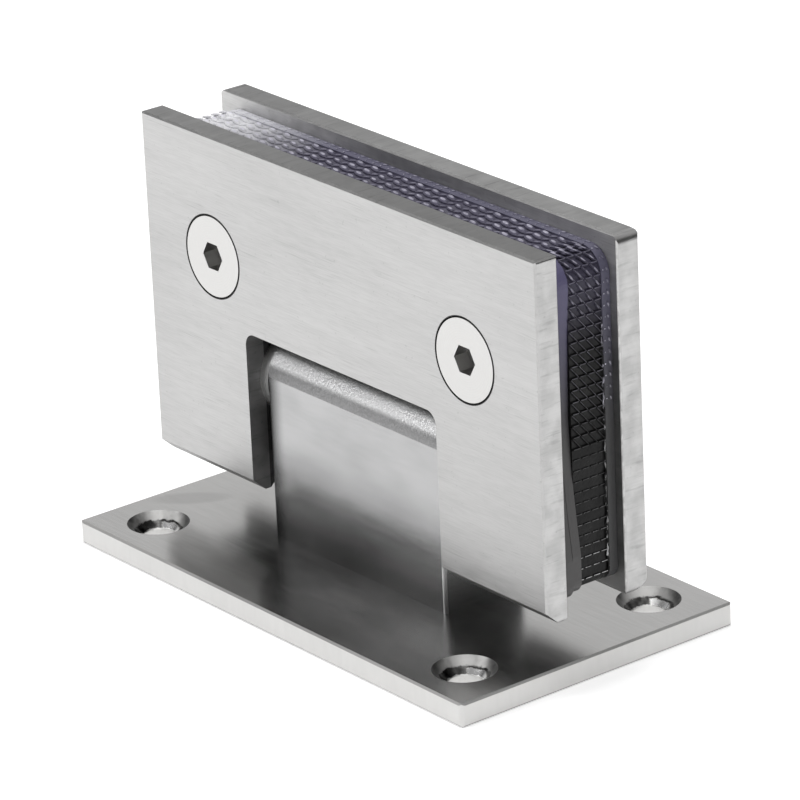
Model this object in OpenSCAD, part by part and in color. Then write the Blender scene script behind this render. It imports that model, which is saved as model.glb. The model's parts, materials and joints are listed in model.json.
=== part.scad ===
// Glass door hinge. A screw-on base plate carries an upright knuckle with a round top.
// A spindle runs through the knuckle, and the glass clamp swings on it: a pivot housing
// between two bevelled plates, with the rubber sheets that pad the glass stacked in the gap.
// Two sprung plungers in the knuckle press on flats of the spindle and hold the door
// closed, or open at a right angle either way.
// X runs along the spindle, Z up from the wall side of the base, and -Y is the screw side.
// The origin is the middle of the base plate's underside.

/* [Base plate] */
// Length of the base along the spindle
base_length = 90; // [84:0.5:104]
// Width of the base across the spindle
base_width = 50; // [46:0.5:60]
// Thickness of the base
base_t = 3.6; // [3.2:0.1:5]
// Distance of the fixing holes from the ends of the base
hole_inset_x = 9; // [7:0.5:12]
// Distance of the fixing holes from the sides of the base
hole_inset_y = 8; // [6:0.5:9]
// Diameter of the fixing holes
hole_d = 5; // [4:0.1:5.5]
// Diameter of the countersinks of the fixing holes
hole_csk_d = 9.4; // [8.5:0.1:10]
// Radius of the corners of the base
base_corner_r = 0.8; // [0.5:0.1:3]
// Break on the sharp edges of every ground part
edge_c = 0.3; // [0.15:0.05:0.4]

/* [Knuckle] */
// Length of the knuckle along the spindle
knuckle_l = 40; // [38:0.5:44]
// Thickness of the knuckle, and diameter of its round top
knuckle_t = 14.5; // [13.5:0.1:16]
// Height of the spindle axis above the underside of the base
axis_h = 27.5; // [26:0.5:32]
// Radius on the four upright edges of the knuckle
knuckle_edge_r = 0.6; // [0.4:0.1:2]
// Distance of the knuckle screws from the ends of the knuckle
knuckle_screw_inset = 3.5; // [3.2:0.1:4]
// Thread diameter of the knuckle screws
knuckle_screw_d = 4; // [3:0.5:4]
// Length of the knuckle screws
knuckle_screw_l = 14; // [10:0.5:15]
// Head diameter of the knuckle screws
knuckle_head_d = 7.8; // [6.8:0.1:8]
// Size across flats of the knuckle screws' sockets
knuckle_screw_hex = 2.5; // [2:0.5:3]
// Depth of the knuckle screws' sockets
knuckle_screw_hex_h = 1.6; // [1:0.1:2]

/* [Spindle and bushes] */
// Diameter of the spindle
spindle_d = 8; // [7.4:0.1:8.4]
// Depth of the flats on the spindle
flat_depth = 0.4; // [0.3:0.05:0.6]
// Wall of the bushes
bush_wall = 1.4; // [1:0.1:1.6]
// Length of the bushes
bush_l = 5; // [4:0.1:6]
// Outer diameter of the thrust washers
washer_d = 14; // [12:0.1:14.4]
// Thickness of the thrust washers
washer_t = 1.8; // [1.4:0.1:2.2]
// Running gap between a thrust washer and the knuckle
washer_gap = 0.2; // [0.1:0.05:0.4]
// Radial running gap of the spindle in its bushes
run_gap = 0.05; // [0.03:0.01:0.08]
// Distance of the spindle's ends inside the ends of the housing
spindle_inset = 1; // [0.5:0.1:1.5]
// Length by which the spindle's flats pass what seats on them
flat_margin = 0.7; // [0.4:0.1:1]

/* [Detent] */
// Spacing of the two plungers along the spindle
plunger_pitch = 18; // [17:0.5:19]
// Diameter of the plungers
plunger_d = 7; // [6.4:0.1:7.2]
// Length of the plungers
plunger_l = 8; // [7:0.5:9]
// Diameter of the pocket in the foot of a plunger
pocket_d = 5.4; // [4.8:0.1:5.6]
// Depth of the pocket in the foot of a plunger
pocket_h = 4; // [3:0.5:5]
// Wire diameter of the springs
wire_d = 0.8; // [0.6:0.1:1]
// Number of coils in a spring
spring_coils = 6; // [5:1:7]
// Length of the adjusting plugs under the springs
plug_l = 5; // [4:0.5:5.5]
// Room between the plugs and the base
plug_room = 0.2; // [0.1:0.1:0.5]
// Size across flats of the hexagon socket in a plug
plug_hex = 4; // [3:0.5:4]
// Depth of the hexagon socket in a plug
plug_hex_h = 3; // [2:0.5:3.5]
// Diameter of the tool holes under the plugs
tool_hole_d = 5; // [4.8:0.1:5.5]

/* [Clamp plates] */
// Length of the clamp plates
plate_length = 90; // [88:0.5:104]
// Height of the clamp plates
plate_height = 54; // [52:0.5:62]
// Thickness of the clamp plates
plate_t = 4; // [3.8:0.1:5]
// Drop of the plates' lower edge below the spindle axis
plate_drop = 17.2; // [16:0.1:19]
// Radius of the front plate's corners
front_corner_r = 0.5; // [0.4:0.1:3]
// Radius of the back plate's corners
back_corner_r = 1.6; // [0.4:0.1:3]
// Break on the plates' lower inner edge
foot_break = 0.8; // [0.4:0.1:1.2]
// Height of the long bevel on the lower outer edge
bevel_h = 2; // [1:0.1:3]
// Depth of the long bevel on the lower outer edge
bevel_y = 2.2; // [1:0.1:3]
// Room between the knuckle's round top and the notch above it
notch_room = 0.95; // [0.6:0.05:1.5]
// Radius in the upper corners of the notch
notch_r = 2; // [1:0.1:4]

/* [Clamp screws] */
// Distance of the clamp screws from the ends of the plates
clamp_screw_inset = 16; // [14:0.5:17]
// Room between the clamp screws and the housing's top
clamp_screw_room = 0.6; // [0.4:0.1:1.5]
// Thread diameter of the clamp screws
clamp_screw_d = 6; // [5:0.5:6]
// Head diameter of the clamp screws
clamp_head_d = 12.3; // [10.8:0.1:12.6]
// Height of the straight rim of the heads
clamp_head_rim = 0.3; // [0.2:0.05:0.4]
// Size across flats of the hexagon sockets
clamp_hex = 4; // [3.5:0.1:4.4]
// Depth of the hexagon sockets
clamp_hex_h = 2.4; // [1.8:0.1:2.6]
// Thread depth in the back plate
clamp_thread_h = 3.2; // [2.8:0.1:3.4]
// Ring gap round the screw heads
head_gap = 0.2; // [0.1:0.05:0.3]

/* [Pivot housing] */
// Width of each cheek beside the knuckle
cheek_w = 9; // [8:0.5:10]
// Height of the bridge over the knuckle
bridge_h = 6.3; // [5:0.1:6.5]
// Drop of the housing's lower edge below the spindle axis
housing_drop = 13.5; // [12:0.5:15]
// Radius of the housing's corners
housing_corner_r = 1.5; // [0.5:0.1:3]
// Radius in the upper corners of the housing's notch
housing_notch_r = 1; // [0.4:0.1:1.1]
// Height of the housing screws above the spindle axis
housing_screw_rise = 9; // [8.4:0.1:10]
// Thread diameter of the housing screws
housing_screw_d = 3; // [2.5:0.5:3]
// Head diameter of the housing screws
housing_head_d = 6; // [5.4:0.1:6.4]
// Size across flats of the housing screws' sockets
housing_screw_hex = 2; // [1.5:0.1:2]
// Depth of the housing screws' sockets
housing_screw_hex_h = 1.5; // [1:0.1:1.6]
// Thread depth of the housing screws in the back plate
housing_thread_h = 2.6; // [2:0.1:3.2]
// Thread diameter of the grub screws
grub_d = 4; // [3:0.5:4.5]
// Length of the grub screws
grub_l = 8; // [6:0.5:9]
// Size across flats of the grub screws' sockets
grub_hex = 2; // [1.5:0.1:2]
// Depth of the grub screws' sockets
grub_hex_h = 3.2; // [2:0.1:4]

/* [Gaskets] */
// Thickness of one gasket sheet
gasket_t = 1.5; // [1.4:0.05:1.7]
// Distance of the sheets from the ends of the plates
gasket_inset_x = 1.5; // [1:0.1:3]
// Distance of the sheets from the plates' top and bottom edges
gasket_inset_z = 2; // [1.5:0.1:3]
// Radius of the sheets' outer corners
gasket_corner_r = 4; // [2:0.5:6]
// Room beside the housing in the sheets' cut-out
cutout_side_room = 1; // [0.5:0.1:2]
// Room over the clamp screws in the sheets' cut-out
cutout_top_room = 1.4; // [0.5:0.1:2]
// Radius of the cut-out's upper corners
cutout_r = 3; // [1:0.5:5]
// Slack left in the gap when all sheets are in it
gasket_slack = 0.1; // [0.05:0.05:0.2]

/* [Hidden] */
$fn = 64;
front_smooth_count = 2;
knurled_count = 4;
back_smooth_count = 1;
sheet_count = front_smooth_count + knurled_count + back_smooth_count;
fit_gap = 0.02;
overshoot = 1;
thread_gap = 0.03;
sink = 0.1;
screw_tip_gap = 1;
screw_tip_share = 1/8;

hole_x = base_length/2 - hole_inset_x;
hole_y = base_width/2 - hole_inset_y;

knuckle_r = knuckle_t/2;
spindle_r = spindle_d/2;
knuckle_bore_r = spindle_r + run_gap + bush_wall;
knuckle_screw_x = knuckle_l/2 - knuckle_screw_inset;

plunger_x = plunger_pitch/2;
plunger_bore_r = plunger_d/2 + run_gap;
plunger_top = axis_h - spindle_r - fit_gap;
plunger_foot = plunger_top - plunger_l;
plug_foot = base_t + plug_room;
plug_top = plug_foot + plug_l;
detent_flat_l = plunger_d + 2*flat_margin;

gap = sheet_count*gasket_t + gasket_slack;
gap_h = gap/2;
outer_y = gap_h + plate_t;
notch_w = knuckle_l + 2*(washer_t + washer_gap);
notch_rise = knuckle_r + notch_room;
plate_bottom = axis_h - plate_drop;
plate_top = plate_bottom + plate_height;

housing_w = notch_w + 2*cheek_w;
housing_top = axis_h + notch_rise + bridge_h;
housing_bottom = axis_h - housing_drop;
cheek_x = notch_w/2 + cheek_w/2;
housing_screw_z = axis_h + housing_screw_rise;
spindle_l = housing_w - 2*spindle_inset;
end_flat_l = cheek_w - spindle_inset - flat_margin;

clamp_screw_x = plate_length/2 - clamp_screw_inset;
clamp_screw_z = housing_top + clamp_screw_room + clamp_screw_d/2;

cutout_w = 2*(max(housing_w/2, clamp_screw_x + clamp_screw_d/2) + cutout_side_room);
cutout_top = clamp_screw_z + clamp_screw_d/2 + cutout_top_room;
gasket_y0 = -gap_h + gasket_slack/2;

// An outline drawn in X and Z, given its thickness from y0 to y1
module slab_y(y0, y1) {
    translate([0, y1, 0])
        rotate([90, 0, 0])
            linear_extrude(y1 - y0)
                children();
}

// A profile drawn in Y and Z, drawn out from x0 to x1
module bar_x(x0, x1) {
    translate([x0, 0, 0])
        rotate([90, 0, 90])
            linear_extrude(x1 - x0)
                children();
}

// A rectangle about the origin with round corners
module round_rect(w, h, r) {
    square([w - 2*r, h], center = true);
    square([w, h - 2*r], center = true);
    for (sx = [-1, 1], sy = [-1, 1])
        translate([sx*(w/2 - r), sy*(h/2 - r)])
            circle(r);
}

// A rectangle about the origin with its corners broken at 45 degrees
module broken_rect(w, h, c) {
    polygon([
        [-w/2 + c, -h/2], [w/2 - c, -h/2], [w/2, -h/2 + c], [w/2, h/2 - c],
        [w/2 - c, h/2], [-w/2 + c, h/2], [-w/2, h/2 - c], [-w/2, -h/2 + c]]);
}

// A tall opening with round upper corners, from z0 up to z1
module arch_cut(w, z0, z1, r) {
    translate([-w/2, z0])
        square([w, z1 - r - z0]);
    translate([-w/2 + r, z0])
        square([w - 2*r, z1 - z0]);
    for (s = [-1, 1])
        translate([s*(w/2 - r), z1 - r])
            circle(r);
}

// A 90 degree countersunk hole down from z = 0: rim, cone, then a through hole
module csk_hole(head_r, hole_r, rim, depth) {
    translate([0, 0, -rim])
        cylinder(r = head_r, h = rim + overshoot);
    translate([0, 0, -rim - (head_r - hole_r)])
        cylinder(r1 = hole_r, r2 = head_r, h = head_r - hole_r);
    translate([0, 0, -depth])
        cylinder(r = hole_r, h = depth);
}

// A countersunk screw with its head's face at z = 0 and its thread down
module csk_screw(head_d, rim, thread_d, length, hex, hex_h) {
    cone_h = (head_d - thread_d)/2;
    tip = thread_d*screw_tip_share;
    difference() {
        union() {
            translate([0, 0, -rim])
                cylinder(d = head_d, h = rim);
            translate([0, 0, -rim - cone_h])
                cylinder(d1 = thread_d, d2 = head_d, h = cone_h);
            translate([0, 0, -length + tip])
                cylinder(d = thread_d, h = length - tip - rim);
            translate([0, 0, -length])
                cylinder(d1 = thread_d - 2*tip, d2 = thread_d, h = tip);
        }
        translate([0, 0, -hex_h])
            cylinder(d = hex/cos(30), h = hex_h + overshoot, $fn = 6);
    }
}

// Places what is drawn along +Z so that it points out of the screw side, at y
module face_front(x, y, z) {
    translate([x, y, z])
        rotate([90, 0, 0])
            children();
}

// The screw-on base plate
module base_plate() {
    color("silver")
        difference() {
            intersection() {
                linear_extrude(base_t)
                    round_rect(base_length, base_width, base_corner_r);
                bar_x(-base_length/2, base_length/2)
                    translate([0, base_t/2])
                        broken_rect(base_width, base_t, edge_c);
                slab_y(-base_width/2, base_width/2)
                    translate([0, base_t/2])
                        broken_rect(base_length, base_t, edge_c);
            }
            for (sx = [-1, 1], sy = [-1, 1])
                translate([sx*hole_x, sy*hole_y, base_t])
                    csk_hole(hole_csk_d/2, hole_d/2, 0, base_t + overshoot);
            for (s = [-1, 1]) {
                translate([s*knuckle_screw_x, 0, 0])
                    rotate([180, 0, 0])
                        csk_hole(knuckle_head_d/2 + sink + fit_gap,
                            knuckle_screw_d/2 + sink + fit_gap, 0, base_t + overshoot);
                translate([s*plunger_x, 0, -overshoot])
                    cylinder(d = tool_hole_d, h = base_t + 2*overshoot);
            }
        }
}

// The upright knuckle: flat ground faces below the axis, a full round above it
module knuckle() {
    color("gainsboro")
        difference() {
            intersection() {
                bar_x(-knuckle_l/2, knuckle_l/2) {
                    translate([-knuckle_r, base_t])
                        square([knuckle_t, axis_h - base_t]);
                    translate([0, axis_h])
                        circle(knuckle_r, $fn = 96);
                }
                translate([0, 0, base_t])
                    linear_extrude(axis_h + knuckle_r)
                        round_rect(knuckle_l, knuckle_t, knuckle_edge_r);
            }
            bar_x(-knuckle_l/2 - overshoot, knuckle_l/2 + overshoot)
                translate([0, axis_h])
                    circle(knuckle_bore_r);
            for (s = [-1, 1]) {
                translate([s*plunger_x, 0, base_t - overshoot])
                    cylinder(r = plunger_bore_r, h = axis_h - base_t + overshoot);
                translate([s*knuckle_screw_x, 0, base_t - overshoot])
                    cylinder(d = knuckle_screw_d + 2*thread_gap,
                        h = knuckle_screw_l + screw_tip_gap - base_t + overshoot);
            }
        }
}

// A screw that holds the knuckle down, put in from the underside of the base
module knuckle_screw(side) {
    color("dimgray")
        translate([side*knuckle_screw_x, 0, sink])
            rotate([180, 0, 0])
                csk_screw(knuckle_head_d, 0, knuckle_screw_d, knuckle_screw_l - sink,
                    knuckle_screw_hex, knuckle_screw_hex_h);
}

// A plain bush in one end of the knuckle
module bush(side) {
    end_x = side*knuckle_l/2;
    color("goldenrod")
        bar_x(min(end_x, end_x - side*bush_l), max(end_x, end_x - side*bush_l))
            translate([0, axis_h])
                difference() {
                    circle(knuckle_bore_r - fit_gap);
                    circle(spindle_r + run_gap);
                }
}

// Round wire wound along a helix, closed at both ends
function ring_points(centre, out, up, r, n) =
    [for (k = [0 : n - 1]) centre + r*cos(360*k/n)*out + r*sin(360*k/n)*up];

module coil_spring(mean_r, wire_r, z0, z1, coils) {
    sides = 6;
    steps = 16*coils;
    rise = z1 - z0 - 2*wire_r;
    points = [for (i = [0 : steps])
        let (a = 360*coils*i/steps, z = z0 + wire_r + rise*i/steps)
            each ring_points([mean_r*cos(a), mean_r*sin(a), z],
                [cos(a), sin(a), 0], [0, 0, 1], wire_r, sides)];
    walls = [for (i = [0 : steps - 1], k = [0 : sides - 1])
        [i*sides + k, i*sides + (k + 1)%sides,
            (i + 1)*sides + (k + 1)%sides, (i + 1)*sides + k]];
    start = [for (k = [0 : sides - 1]) sides - 1 - k];
    end = [for (k = [0 : sides - 1]) steps*sides + k];
    polyhedron(points, concat([start], walls, [end]));
}

// The spring between a plug and the pocket of its plunger
module detent_spring(side) {
    wire_r = wire_d/2;
    color("lightsteelblue")
        translate([side*plunger_x, 0, 0])
            coil_spring(pocket_d/2 - sink - wire_r, wire_r, plug_top + fit_gap,
                plunger_foot + pocket_h - fit_gap, spring_coils);
}

// The adjusting plug that closes a plunger bore from below
module spring_plug(side) {
    color("dimgray")
        translate([side*plunger_x, 0, plug_foot])
            difference() {
                cylinder(r = plunger_bore_r - thread_gap, h = plug_l);
                translate([0, 0, -overshoot])
                    cylinder(d = plug_hex/cos(30), h = plug_hex_h + overshoot, $fn = 6);
            }
}

// A plunger, with its pocket in the foot and its flat top under the spindle
module detent_plunger(side) {
    top_break = 0.5;
    color("slategray")
        translate([side*plunger_x, 0, plunger_foot])
            difference() {
                union() {
                    cylinder(d = plunger_d, h = plunger_l - top_break);
                    translate([0, 0, plunger_l - top_break])
                        cylinder(d1 = plunger_d, d2 = plunger_d - 2*top_break, h = top_break);
                }
                translate([0, 0, -overshoot])
                    cylinder(d = pocket_d, h = pocket_h + overshoot);
            }
}

// The round spindle with its detent flats and the flats under the grub screws
module spindle() {
    flat = spindle_r - flat_depth;
    color("darkgray")
        difference() {
            union() {
                bar_x(-spindle_l/2 + edge_c, spindle_l/2 - edge_c)
                    translate([0, axis_h])
                        circle(spindle_r);
                for (s = [-1, 1])
                    translate([s*(spindle_l/2 - edge_c), 0, axis_h])
                        rotate([0, s*90, 0])
                            cylinder(r1 = spindle_r, r2 = spindle_r - edge_c, h = edge_c);
            }
            for (s = [-1, 1]) {
                for (turn = [-90, 0, 90])
                    translate([s*plunger_x, 0, axis_h])
                        rotate([turn, 0, 0])
                            translate([-detent_flat_l/2, -spindle_r, -spindle_r - flat])
                                cube([detent_flat_l, spindle_d, spindle_r]);
                translate([s*(spindle_l - end_flat_l + overshoot)/2, 0, axis_h - flat - spindle_r/2])
                    cube([end_flat_l + overshoot, spindle_d, spindle_r], center = true);
            }
        }
}

// A thrust washer between the knuckle and a cheek of the housing
module thrust_washer(side) {
    near = side*(knuckle_l/2 + washer_gap);
    far = side*notch_w/2;
    color("lightgray")
        bar_x(min(near, far), max(near, far))
            translate([0, axis_h])
                difference() {
                    circle(d = washer_d);
                    circle(spindle_r + run_gap);
                }
}

// The housing that carries the spindle: two cheeks and a bridge over the knuckle
module pivot_housing() {
    color("gray")
        difference() {
            slab_y(-gap_h, gap_h)
                difference() {
                    translate([0, (housing_top + housing_bottom)/2])
                        round_rect(housing_w, housing_top - housing_bottom, housing_corner_r);
                    arch_cut(notch_w, housing_bottom - overshoot, axis_h + notch_rise,
                        housing_notch_r);
                }
            bar_x(-housing_w/2 - overshoot, housing_w/2 + overshoot)
                translate([0, axis_h])
                    circle(spindle_r + run_gap);
            for (s = [-1, 1]) {
                translate([s*cheek_x, 0, housing_bottom - overshoot])
                    cylinder(d = grub_d + 2*thread_gap, h = housing_drop + overshoot);
                face_front(s*cheek_x, -gap_h, housing_screw_z)
                    csk_hole(housing_head_d/2 + sink + fit_gap,
                        housing_screw_d/2 + sink + fit_gap, 0, gap + overshoot);
            }
        }
}

// A grub screw that locks the spindle in a cheek
module grub_screw(side) {
    tip = axis_h - spindle_r + flat_depth - fit_gap;
    point_h = 0.6;
    color("dimgray")
        translate([side*cheek_x, 0, tip - grub_l])
            difference() {
                union() {
                    cylinder(d = grub_d, h = grub_l - point_h);
                    translate([0, 0, grub_l - point_h])
                        cylinder(d1 = grub_d, d2 = grub_d - 2*point_h, h = point_h);
                }
                translate([0, 0, -overshoot])
                    cylinder(d = grub_hex/cos(30), h = grub_hex_h + overshoot, $fn = 6);
            }
}

// A screw that holds the housing to the back plate
module housing_screw(side) {
    color("dimgray")
        face_front(side*cheek_x, -gap_h + sink, housing_screw_z)
            csk_screw(housing_head_d, 0, housing_screw_d, gap - sink + housing_thread_h,
                housing_screw_hex, housing_screw_hex_h);
}

// The section of a clamp plate, outer face at the left: small breaks, and the long bevel
module plate_section() {
    polygon([
        [-outer_y, plate_bottom + bevel_h], [-outer_y + bevel_y, plate_bottom],
        [-gap_h - foot_break, plate_bottom], [-gap_h, plate_bottom + foot_break],
        [-gap_h, plate_top - edge_c], [-gap_h - edge_c, plate_top],
        [-outer_y + edge_c, plate_top], [-outer_y, plate_top - edge_c]]);
}

// A bevelled clamp plate on the screw side, notched over the knuckle
module plate_blank(corner_r) {
    intersection() {
        slab_y(-outer_y, -gap_h)
            difference() {
                translate([0, (plate_top + plate_bottom)/2])
                    round_rect(plate_length, plate_height, corner_r);
                arch_cut(notch_w, plate_bottom - overshoot, axis_h + notch_rise, notch_r);
            }
        bar_x(-plate_length/2, plate_length/2)
            plate_section();
        translate([0, -(outer_y + gap_h)/2, plate_bottom])
            linear_extrude(plate_height)
                broken_rect(plate_length, plate_t, edge_c);
    }
}

// The front plate, with the countersinks of the clamp screws
module front_plate() {
    color("silver")
        difference() {
            plate_blank(front_corner_r);
            for (s = [-1, 1])
                face_front(s*clamp_screw_x, -outer_y, clamp_screw_z)
                    csk_hole(clamp_head_d/2 + head_gap, clamp_screw_d/2 + head_gap,
                        clamp_head_rim, plate_t + overshoot);
        }
}

// The back plate, with blind threads for the clamp screws and the housing screws
module back_plate() {
    color("silver")
        difference() {
            mirror([0, 1, 0])
                plate_blank(back_corner_r);
            for (s = [-1, 1]) {
                face_front(s*clamp_screw_x, gap_h, clamp_screw_z)
                    translate([0, 0, -clamp_thread_h - sink])
                        cylinder(d = clamp_screw_d + 2*thread_gap,
                            h = clamp_thread_h + sink + overshoot);
                face_front(s*cheek_x, gap_h, housing_screw_z)
                    translate([0, 0, -housing_thread_h - sink])
                        cylinder(d = housing_screw_d + 2*thread_gap,
                            h = housing_thread_h + sink + overshoot);
            }
        }
}

// A clamp screw, flush in the front plate
module clamp_screw(side) {
    color("whitesmoke")
        face_front(side*clamp_screw_x, -outer_y, clamp_screw_z)
            csk_screw(clamp_head_d, clamp_head_rim, clamp_screw_d,
                plate_t + gap + clamp_thread_h, clamp_hex, clamp_hex_h);
}

// One gasket sheet, cut out round the housing and the clamp screws, in its place in the stack
module gasket(place) {
    y0 = gasket_y0 + place*gasket_t;
    low = plate_bottom + gasket_inset_z;
    high = plate_top - gasket_inset_z;
    slab_y(y0, y0 + gasket_t)
        difference() {
            translate([0, (low + high)/2])
                round_rect(plate_length - 2*gasket_inset_x, high - low, gasket_corner_r);
            arch_cut(cutout_w, low - overshoot, cutout_top, cutout_r);
        }
}

// A smooth sheet, counted from the front of the stack
module gasket_smooth(place) {
    color("lightslategray")
        gasket(place);
}

// A knurled sheet, counted from the last smooth sheet at the front
module gasket_knurled(number) {
    color("darkslateblue")
        gasket(front_smooth_count + number);
}

base_plate();
knuckle();
knuckle_screw(-1);  // knuckle_screw_left
knuckle_screw(1);  // knuckle_screw_right
bush(-1);  // bush_left
bush(1);  // bush_right
detent_spring(-1);  // detent_spring_left
detent_spring(1);  // detent_spring_right
spring_plug(-1);  // spring_plug_left
spring_plug(1);  // spring_plug_right
detent_plunger(-1);  // detent_plunger_left
detent_plunger(1);  // detent_plunger_right
spindle();
thrust_washer(-1);  // thrust_washer_left
thrust_washer(1);  // thrust_washer_right
pivot_housing();
grub_screw(-1);  // grub_screw_left
grub_screw(1);  // grub_screw_right
housing_screw(-1);  // housing_screw_left
housing_screw(1);  // housing_screw_right
front_plate();
back_plate();
clamp_screw(-1);  // clamp_screw_left
clamp_screw(1);  // clamp_screw_right
gasket_smooth(0);  // gasket_smooth_1
gasket_smooth(1);  // gasket_smooth_2
gasket_knurled(0);  // gasket_knurled_1
gasket_knurled(1);  // gasket_knurled_2
gasket_knurled(2);  // gasket_knurled_3
gasket_knurled(3);  // gasket_knurled_4
gasket_smooth(sheet_count - 1);  // gasket_smooth_3
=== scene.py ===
# %% [markdown]
# Glass door hinge, dressed for its portrait
#
# A glass door hinge is a small brushed-steel machine: a base plate that is screwed to the
# wall, an upright knuckle on it, and a clamp of two bevelled plates that swings on a spindle
# through the knuckle. The packed model brings every piece at its real size and in its place.
# This notebook gives the pieces their finishes, cuts the soft gasket sheets in full detail,
# and sets up the floor, the light and the camera.

# %% The packed model
import json
import math
import random

import bmesh
import bpy
from mathutils import Matrix, Vector


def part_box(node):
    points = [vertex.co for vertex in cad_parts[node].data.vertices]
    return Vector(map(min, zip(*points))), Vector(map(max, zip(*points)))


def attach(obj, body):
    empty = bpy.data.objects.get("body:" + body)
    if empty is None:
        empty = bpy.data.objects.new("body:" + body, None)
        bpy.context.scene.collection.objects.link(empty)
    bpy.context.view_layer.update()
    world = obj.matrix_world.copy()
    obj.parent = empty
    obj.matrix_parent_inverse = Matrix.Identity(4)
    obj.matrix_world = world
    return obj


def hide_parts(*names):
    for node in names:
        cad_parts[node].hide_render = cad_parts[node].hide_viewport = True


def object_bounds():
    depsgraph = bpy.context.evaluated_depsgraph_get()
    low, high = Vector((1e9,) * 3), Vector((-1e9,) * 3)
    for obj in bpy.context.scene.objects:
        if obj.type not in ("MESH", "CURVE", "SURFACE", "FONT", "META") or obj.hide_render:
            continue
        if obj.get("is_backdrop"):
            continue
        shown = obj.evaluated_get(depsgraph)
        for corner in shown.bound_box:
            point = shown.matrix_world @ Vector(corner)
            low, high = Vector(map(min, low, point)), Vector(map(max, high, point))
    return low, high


MM = 0.001


def in_mm(lengths):
    """Lengths in millimetres, rounded, for printing."""
    return [round(length / MM, 2) for length in lengths]


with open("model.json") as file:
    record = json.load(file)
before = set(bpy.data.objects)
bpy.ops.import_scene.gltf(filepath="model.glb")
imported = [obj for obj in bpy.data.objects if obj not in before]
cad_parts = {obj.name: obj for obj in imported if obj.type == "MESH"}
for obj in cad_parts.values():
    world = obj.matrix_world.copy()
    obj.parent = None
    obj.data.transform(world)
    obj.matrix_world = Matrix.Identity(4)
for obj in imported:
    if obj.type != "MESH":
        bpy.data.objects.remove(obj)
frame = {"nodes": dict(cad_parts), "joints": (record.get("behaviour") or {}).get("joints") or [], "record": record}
nodes = frame["nodes"]
cad_low, cad_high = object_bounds()
print("pieces", len(nodes), "box in mm", in_mm((*cad_low, *cad_high)))

# %% [markdown]
# Where things are
#
# A finish that changes from place to place needs real places. They could all be typed in,
# but then a hinge of another size would leave them behind. So the main ones are read from
# the packed model, each where it is first needed: the box of a piece gives its walls, and
# the record gives the holes. What only the light or wear has marked stands at named places
# of its own. The front plate and its screws come first, because most is set out from them.

# %% The front plate and its screws
front_low, front_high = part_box("front_plate")
screw_low, screw_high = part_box("clamp_screw_right")
inner_y = -front_high.y
screw_x = (screw_low.x + screw_high.x) / 2
screw_z = (screw_low.z + screw_high.z) / 2
print("plate in mm", in_mm((*front_low, *front_high)), "screw", in_mm((screw_x, screw_z)))

# %% [markdown]
# Sums written as sums
#
# A finish is a chain of small sums: a mask times a streak plus a tone. The chain could be
# drawn by hand in the shader editor, but it would soon be a web that nobody reads. Wrapping a
# socket in a class with its own plus, minus and times lets the chain be written as it is
# thought, and each step adds one Math node. Colours go through Mix nodes, which keep their
# hue.


# %% A value on a node tree
class Value:
    """A socket that is added, multiplied and compared like a number."""

    def __init__(self, tree, socket):
        self.tree = tree
        self.socket = socket

    def _math(self, operation, first, second):
        return self.tree.node("ShaderNodeMath", {"operation": operation}, {0: first, 1: second})

    def __add__(self, other):
        return self._math("ADD", self, other)

    __radd__ = __add__

    def __sub__(self, other):
        return self._math("SUBTRACT", self, other)

    def __rsub__(self, other):
        return self._math("SUBTRACT", other, self)

    def __mul__(self, other):
        return self._math("MULTIPLY", self, other)

    __rmul__ = __mul__

    def __truediv__(self, other):
        return self._math("DIVIDE", self, other)

    def __pow__(self, other):
        return self._math("POWER", self, other)

    def __gt__(self, other):
        return self._math("GREATER_THAN", self, other)

    def __lt__(self, other):
        return self._math("LESS_THAN", self, other)

    def size(self):
        """The value without its sign."""
        return self._math("ABSOLUTE", self, 0.0)

    def sign(self):
        """1 above nothing, and -1 below."""
        return (self > 0.0) * 2 - 1

    def ramp(self, low, high, to_low=0.0, to_high=1.0):
        """This value from low to high, smoothly, as a value from to_low to to_high."""
        inputs = {"Value": self, "From Min": low, "From Max": high, "To Min": to_low, "To Max": to_high}
        return self.tree.node("ShaderNodeMapRange", {"interpolation_type": "SMOOTHSTEP"}, inputs)

    def fade(self, low, high):
        """1 up to low, and smoothly down to 0 at high."""
        return self.ramp(low, high, 1.0, 0.0)

    def band(self, rise, fall):
        """1 between two ranges: up over the first, down over the second."""
        return self.ramp(*rise) * self.fade(*fall)


print("a value knows", [name.strip("_") for name, entry in vars(Value).items() if callable(entry)])


# %% A node tree that is filled node by node
class NodeTree:
    """A tree of any kind: a material's, the sky's, or one of Geometry Nodes."""

    def __init__(self, tree):
        self.nodes = tree.nodes
        self.links = tree.links
        self.nodes.clear()

    def node(self, kind, settings=None, inputs=None, output=0):
        """Adds a node: its settings first, then a number, a colour or a link for each socket."""
        made = self.nodes.new(kind)
        for name, value in (settings or {}).items():
            setattr(made, name, value)
        for key, value in (inputs or {}).items():
            if isinstance(value, Value):
                self.links.new(value.socket, made.inputs[key])
            else:
                made.inputs[key].default_value = value
        return Value(self, made.outputs[output]) if made.outputs else None

    def split(self, vector):
        """The x, y and z of a vector, as three values."""
        parts = self.node("ShaderNodeSeparateXYZ", inputs={0: vector})
        return [Value(self, socket) for socket in parts.socket.node.outputs]


print("a tree knows", [name.strip("_") for name, entry in vars(NodeTree).items() if callable(entry)])

# %% A finish: one material, and the ways to add to it
# The Mix node has sockets for every kind of data, and these are the ones for colours
MIX_FIRST = 6
MIX_SECOND = 7
MIX_RESULT = 2


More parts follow.
